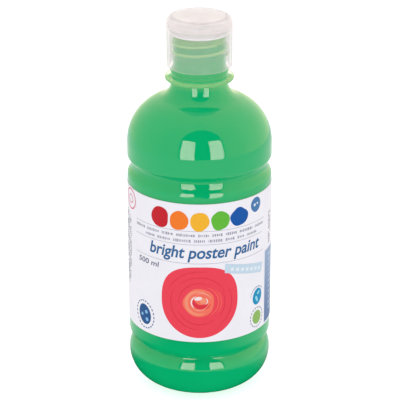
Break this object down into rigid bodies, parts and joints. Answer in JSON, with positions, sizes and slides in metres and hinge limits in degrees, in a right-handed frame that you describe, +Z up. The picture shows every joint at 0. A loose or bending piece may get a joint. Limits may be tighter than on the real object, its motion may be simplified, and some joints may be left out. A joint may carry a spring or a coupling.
{
  "type": "squeeze bottle of paint",
  "caption": "Round clear squeeze bottle full of poster paint, with a waist groove, a wrap-round label and a threaded snap-lid cap.",
  "frame": {"origin": "middle of the base, on the surface that the bottle stands on", "axes": "+Z up along the bottle's axis, towards the cap; -Y is the front of the label; the lid's hinge is at the back"},
  "size_m": [0.0702, 0.0704, 0.188],
  "materials": {
    "clear_bottle": "clear, glossy blown plastic",
    "paint": "opaque green paint, wet against the wall",
    "label": "satin printed film",
    "seal": "soft foam, matt",
    "frosted_cap": "frosted translucent plastic"
  },
  "bodies": {
    "bottle": {"bottle": "clear_bottle", "paint": "paint", "label": "label"},
    "liner": {"seal_liner": "seal"},
    "cap": {"cap_base": "frosted_cap", "living_hinge": "frosted_cap"},
    "lid": {"flip_lid": "frosted_cap"}
  },
  "joints": [
    {"name": "cap_lift", "type": "slide", "parent": "bottle", "child": "liner", "axis": [0, 0, 1], "range_m": [0, 0.00784]},
    {"name": "cap_turn", "type": "hinge", "parent": "liner", "child": "cap", "pos_m": [0, 0, 0.1805], "axis": [0, 0, 1], "range_deg": [0, 666]},
    {"name": "lid_flip", "type": "hinge", "parent": "cap", "child": "lid", "pos_m": [-0.00349, 0.01547, 0.1832], "axis": [-0.9755, -0.2198, 0], "range_deg": [0, 135], "deforming": ["living_hinge"]}
  ],
  "couplings": [
    {"joint": "cap_lift", "follows": "cap_turn", "m_per_rad": 0.00067375}
  ]
}
